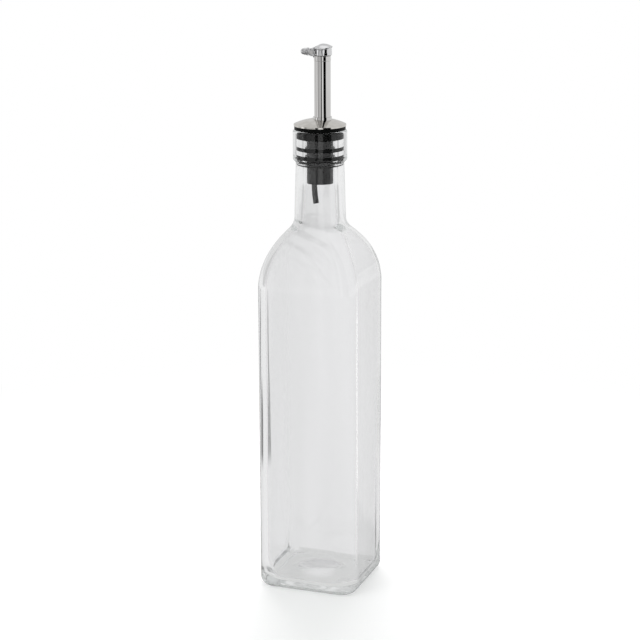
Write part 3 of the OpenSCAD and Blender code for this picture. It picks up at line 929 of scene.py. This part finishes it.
def clear_glass():
    """Soda-lime glass: smooth, a little darker where it is thick, and open to the lamps' light.

    Faint upright streaks tint it, and painted shade darkens its underside and the heel's lowest outer edge,
    where it stands on the floor. Light that has been bounced about inside the glass more than TRAPPED_AFTER
    times comes out at an even tone, which is darker in the heavy base.
    """
    made, tree, shader = new_material("clear_glass")
    smooth = {"Roughness": 0.0, "IOR": 1.52, "Transmission Weight": 1.0, "Specular IOR Level": 0.13}
    set_inputs(shader, smooth)
    bump(tree, shader, grain(tree, (60, 60, 22), detail=1.0), distance=0.00012, strength=0.35)
    where = tree.nodes.new("ShaderNodeTexCoord")
    axes = tree.nodes.new("ShaderNodeSeparateXYZ")
    tree.links.new(where.outputs["Object"], axes.inputs[0])
    streaks = grain(tree, (40, 40, 3), low=0.83, detail=2.0)
    # Base colour runs dark with the glass's streaks and with painted shade on the underside and the heel's
    # outer edge.
    streaks_and_painted_shade = calc(tree, "MULTIPLY", painted_heel_shade(tree, axes), streaks)
    two_tone(tree, shader, streaks_and_painted_shade, dark=(0.60, 0.61, 0.60), light=(0.938, 0.938, 0.943))
    clear = add(tree, "ShaderNodeBsdfTransparent", Color=(0.82, 0.83, 0.825, 1))
    glow = add(tree, "ShaderNodeEmission", Color=(1, 1, 1, 1))
    strength = node_step(tree, axes.outputs[2], *GLOW_Z, BASE_GLOW, GLASS_GLOW)
    tree.links.new(strength, glow.inputs["Strength"])
    path = tree.nodes.new("ShaderNodeLightPath")
    trapped = calc(tree, "GREATER_THAN", path.outputs["Ray Depth"], TRAPPED_AFTER)
    pairs = [(path.outputs["Is Shadow Ray"], clear.outputs[0]), (trapped, glow.outputs[0])]
    out = own_node(tree, "OUTPUT_MATERIAL")
    tree.links.new(choose(tree, shader.outputs[0], pairs), out.inputs["Surface"])
    depth = add(tree, "ShaderNodeVolumeAbsorption", Color=(0.72, 0.745, 0.74, 1), Density=6.0)
    tree.links.new(depth.outputs[0], out.inputs["Volume"])
    return made


def black_rubber():
    """Moulded rubber: near black, faintly green, with a fine matt grain and a dusty bloom."""
    made, tree, shader = new_material("black_rubber")
    bloom = grain(tree, (420, 420, 420))
    two_tone(tree, shader, bloom, dark=(0.001, 0.0013, 0.0012), light=(0.003, 0.0034, 0.0032))
    tree.links.new(grain(tree, (900, 900, 900), low=0.30, high=0.44), shader.inputs["Roughness"])
    set_inputs(shader, {"Specular IOR Level": 0.10})
    bump(tree, shader, grain(tree, (2600, 2600, 2600), detail=2.0), distance=0.00004)
    return made


def black_plastic():
    """Extruded plastic tube: black, smoother than the rubber, with faint draw lines along it."""
    made, tree, shader = new_material("black_plastic")
    lines = grain(tree, (700, 700, 60))
    two_tone(tree, shader, lines, dark=(0.007, 0.007, 0.008), light=(0.018, 0.018, 0.019))
    tree.links.new(grain(tree, (1500, 1500, 120), low=0.22, high=0.34), shader.inputs["Roughness"])
    bump(tree, shader, grain(tree, (3000, 3000, 150), detail=2.0), distance=0.00003)
    return made


def metal(name, dark, light, smear, rough, wave, wave_height):
    """Bright metal: tone and roughness, from rough[0] to rough[1], by stretched grain, and a slow wave."""
    made, tree, shader = new_material(name)
    set_inputs(shader, {"Metallic": 1.0})
    two_tone(tree, shader, grain(tree, smear), dark, light)
    finer = tuple(3 * scale for scale in smear)
    tree.links.new(grain(tree, finer, *rough), shader.inputs["Roughness"])
    bump(tree, shader, grain(tree, wave, detail=1.0), wave_height)
    return made


def floor_paper():
    """White paper: lit evenly, with the object's shadow, near the object, and plain white farther off.

    Glass and mirrors see the studio's tones instead.
    """
    made, tree, shader = new_material("floor_paper")
    paper = {"Base Color": (0.80, 0.80, 0.80, 1), "Roughness": 1.0, "Specular IOR Level": 0.0}
    set_inputs(shader, paper)
    place = tree.nodes.new("ShaderNodeTexCoord").outputs["Object"]
    lift = add(tree, "ShaderNodeEmission", Color=(1, 1, 1, 1), Strength=FLOOR_LIFT)
    lifted = tree.nodes.new("ShaderNodeAddShader")
    tree.links.new(shader.outputs[0], lifted.inputs[0])
    tree.links.new(lift.outputs[0], lifted.inputs[1])
    white = add(tree, "ShaderNodeEmission", Color=(1, 1, 1, 1), Strength=1.0)
    away = node_step(tree, vector_calc(tree, "LENGTH", place), FLOOR_WHITE_FROM, FLOOR_WHITE_AT)
    seen = choose(tree, lifted.outputs[0], [(away, white.outputs[0])])
    camera_ray, through, mirrored = ray_kinds(tree)
    in_glass = tone_shader(tree, "ShaderNodeEmission", place, THROUGH_GLASS).outputs[0]
    in_mirror = tone_shader(tree, "ShaderNodeEmission", place, IN_MIRRORS).outputs[0]
    pairs = [(through, in_glass), (mirrored, in_mirror), (camera_ray, seen)]
    out = own_node(tree, "OUTPUT_MATERIAL")
    tree.links.new(choose(tree, shader.outputs[0], pairs), out.inputs["Surface"])
    return made


# ---------------------------------------------------------------------------
# Dress the part
# ---------------------------------------------------------------------------
glass = glass_body()
glass.data.materials.append(clear_glass())
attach(glass, "bottle")
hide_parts("glass_bottle")

cap_pieces = [crown(), skirt(), knuckle(), tongue(), blade()]
tail_piece = tail()
band_piece = band()
ear_pieces = [ear("near_ear", -1), ear("far_ear", 1)]

rubber = black_rubber()
plastic = black_plastic()
satin = metal(
    "satin_steel",
    dark=(0.69, 0.67, 0.63),
    light=(0.86, 0.84, 0.80),
    smear=(260, 260, 260),
    rough=(0.06, 0.12),
    wave=(60, 60, 60),
    wave_height=0.00010,
)
polished = metal(
    "polished_steel",
    dark=(0.70, 0.69, 0.68),
    light=(0.82, 0.81, 0.80),
    smear=(90, 90, 30),
    rough=(0.03, 0.06),
    wave=(110, 110, 34),
    wave_height=0.00012,
)
chrome = metal(
    "cast_chrome",
    dark=(0.78, 0.78, 0.79),
    light=(0.90, 0.90, 0.91),
    smear=(200, 200, 200),
    rough=(0.04, 0.08),
    wave=(260, 260, 260),
    wave_height=0.00010,
)
rough_chrome = metal(
    "tail_chrome",
    dark=(0.74, 0.74, 0.75),
    light=(0.96, 0.96, 0.97),
    smear=(500, 500, 500),
    rough=(0.06, 0.14),
    wave=(650, 650, 650),
    wave_height=0.00022,
)

FINISHES = {
    "stopper": rubber,
    "air_tube": plastic,
    "cover_disc": satin,
    "spout_tube": polished,
    "hinge_pin": polished,
}
for node, finish in FINISHES.items():
    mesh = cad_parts[node].data
    mesh.materials.clear()
    mesh.materials.append(finish)

for piece in cap_pieces:
    piece.data.materials.append(chrome)
    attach(piece, "flap")
    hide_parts("flap_cap")
band_piece.data.materials.append(polished)
for piece in ear_pieces:
    piece.data.materials.append(rough_chrome)
for piece in (band_piece, *ear_pieces):
    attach(piece, "pourer")
    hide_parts("hinge_band")
tail_piece.data.materials.append(rough_chrome)
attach(tail_piece, "flap")
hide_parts("flap_tail")

# ---------------------------------------------------------------------------
# Studio, in metres and degrees
# ---------------------------------------------------------------------------
FLOOR_RINGS = (0.05, 0.2, 0.6, 1.5, 4.0, 12.0)
# The floor lies this far under the glass, in millimetres, so that the two never lie in one plane.
FLOOR_DROP = 0.05

# Name, bearing, height, distance, size and watts of each lamp, and the height that they all aim at.
LAMPS = (
    ("key", -40, 1.1, 1.3, 0.9, 6.0),
    ("fill", 80, 0.9, 1.4, 0.8, 3.0),
    ("back", 200, 1.6, 0.8, 0.7, 22.0),
)
LAMP_AIM_Z = 0.18

CAMERA_BEARING = 20.005
CAMERA_DISTANCE = 1.055901
CAMERA_HEIGHT = 0.431591
CAMERA_PITCH = 14.782
CAMERA_ROLL = -0.15
SENSOR_WIDTH = 36.0
FOCAL_PIXELS = 1945.33
PICTURE_PIXELS = 640
AXIS_OFFSET_PIXELS = 0.47

# Glass needs many bounces before light finds its way out.
BOUNCES = 20
CLEAR_BOUNCES = 16


def place_at(bearing, distance, height):
    """Matrix that moves to a place: bearing 0 lies along -y, and 90 along +x."""
    way = math.radians(bearing)
    return Matrix.Translation((distance * math.sin(way), -distance * math.cos(way), height))


def studio_floor():
    """Flat round floor: circles about the axis with the radii FLOOR_RINGS, all at the height -FLOOR_DROP."""
    radius = np.array(FLOOR_RINGS) / MM
    grid = turned(radius, np.full_like(radius, -FLOOR_DROP), 96)
    floor = skin("floor", grid, first_pole=[0, 0, -FLOOR_DROP])
    floor.data.materials.append(floor_paper())
    return floor


def lamp(name, bearing, height, distance, size, watts):
    """Square soft box at a bearing about the object, turned to face the bottle, and itself unseen."""
    data = bpy.data.lights.new(name, "AREA")
    data.shape = "SQUARE"
    data.size = size
    data.energy = watts
    box = bpy.data.objects.new(name, data)
    place = place_at(bearing, distance, height)
    aim = Vector((0, 0, LAMP_AIM_Z)) - place.translation
    box.matrix_world = place @ aim.to_track_quat("-Z", "Y").to_matrix().to_4x4()
    box.visible_glossy = False
    box.visible_transmission = False
    bpy.context.scene.collection.objects.link(box)


def studio_world():
    """World: white to the camera, the studio's tones to glass and mirrors, and plain light to the rest.

    Mirrors see it brighter overhead than a little lower, which gives the domed cap its two tones.
    """
    world = bpy.data.worlds.new("studio")
    world.use_nodes = True
    tree = world.node_tree
    plain = own_node(tree, "BACKGROUND")
    set_inputs(plain, {"Color": (WORLD_LEVEL, WORLD_LEVEL, WORLD_LEVEL, 1)})
    white = add(tree, "ShaderNodeBackground", Color=(1, 1, 1, 1), Strength=1.0)
    ray = tree.nodes.new("ShaderNodeTexCoord").outputs["Generated"]
    level_way = vector_calc(tree, "NORMALIZE", vector_calc(tree, "MULTIPLY", ray, (1, 1, 0)))
    far = vector_calc(tree, "MULTIPLY", level_way, (WORLD_REACH, WORLD_REACH, WORLD_REACH))
    axes = tree.nodes.new("ShaderNodeSeparateXYZ")
    tree.links.new(ray, axes.inputs[0])
    climb = node_step(tree, axes.outputs[2], *CLIMB_HEIGHTS, *CLIMB_STRENGTHS)
    in_glass = tone_shader(tree, "ShaderNodeBackground", far, THROUGH_GLASS)
    in_mirror = tone_shader(tree, "ShaderNodeBackground", far, IN_MIRRORS)
    tree.links.new(climb, in_mirror.inputs["Strength"])
    camera_ray, through, mirrored = ray_kinds(tree)
    pairs = [(through, in_glass.outputs[0]), (mirrored, in_mirror.outputs[0]), (camera_ray, white.outputs[0])]
    out = own_node(tree, "OUTPUT_WORLD")
    tree.links.new(choose(tree, plain.outputs[0], pairs), out.inputs["Surface"])
    bpy.context.scene.world = world


def studio_camera():
    """Camera that looks down at the bottle from the right of its front."""
    data = bpy.data.cameras.new("camera")
    data.sensor_width = SENSOR_WIDTH
    data.lens = FOCAL_PIXELS / PICTURE_PIXELS * SENSOR_WIDTH
    data.shift_x = -AXIS_OFFSET_PIXELS / PICTURE_PIXELS
    data.clip_start = 0.05
    data.clip_end = 60.0
    camera = bpy.data.objects.new("camera", data)
    camera.matrix_world = (
        place_at(CAMERA_BEARING, CAMERA_DISTANCE, CAMERA_HEIGHT)
        @ Matrix.Rotation(math.radians(CAMERA_BEARING), 4, "Z")
        @ Matrix.Rotation(math.radians(90 - CAMERA_PITCH), 4, "X")
        @ Matrix.Rotation(math.radians(CAMERA_ROLL), 4, "Z")
    )
    bpy.context.scene.collection.objects.link(camera)
    bpy.context.scene.camera = camera


studio_floor()
for row in LAMPS:
    lamp(*row)
studio_world()
studio_camera()

scene = bpy.context.scene
scene.view_settings.view_transform = "Standard"
scene.cycles.max_bounces = BOUNCES
scene.cycles.transmission_bounces = BOUNCES
scene.cycles.glossy_bounces = BOUNCES
scene.cycles.transparent_max_bounces = CLEAR_BOUNCES
scene.cycles.use_denoising = True
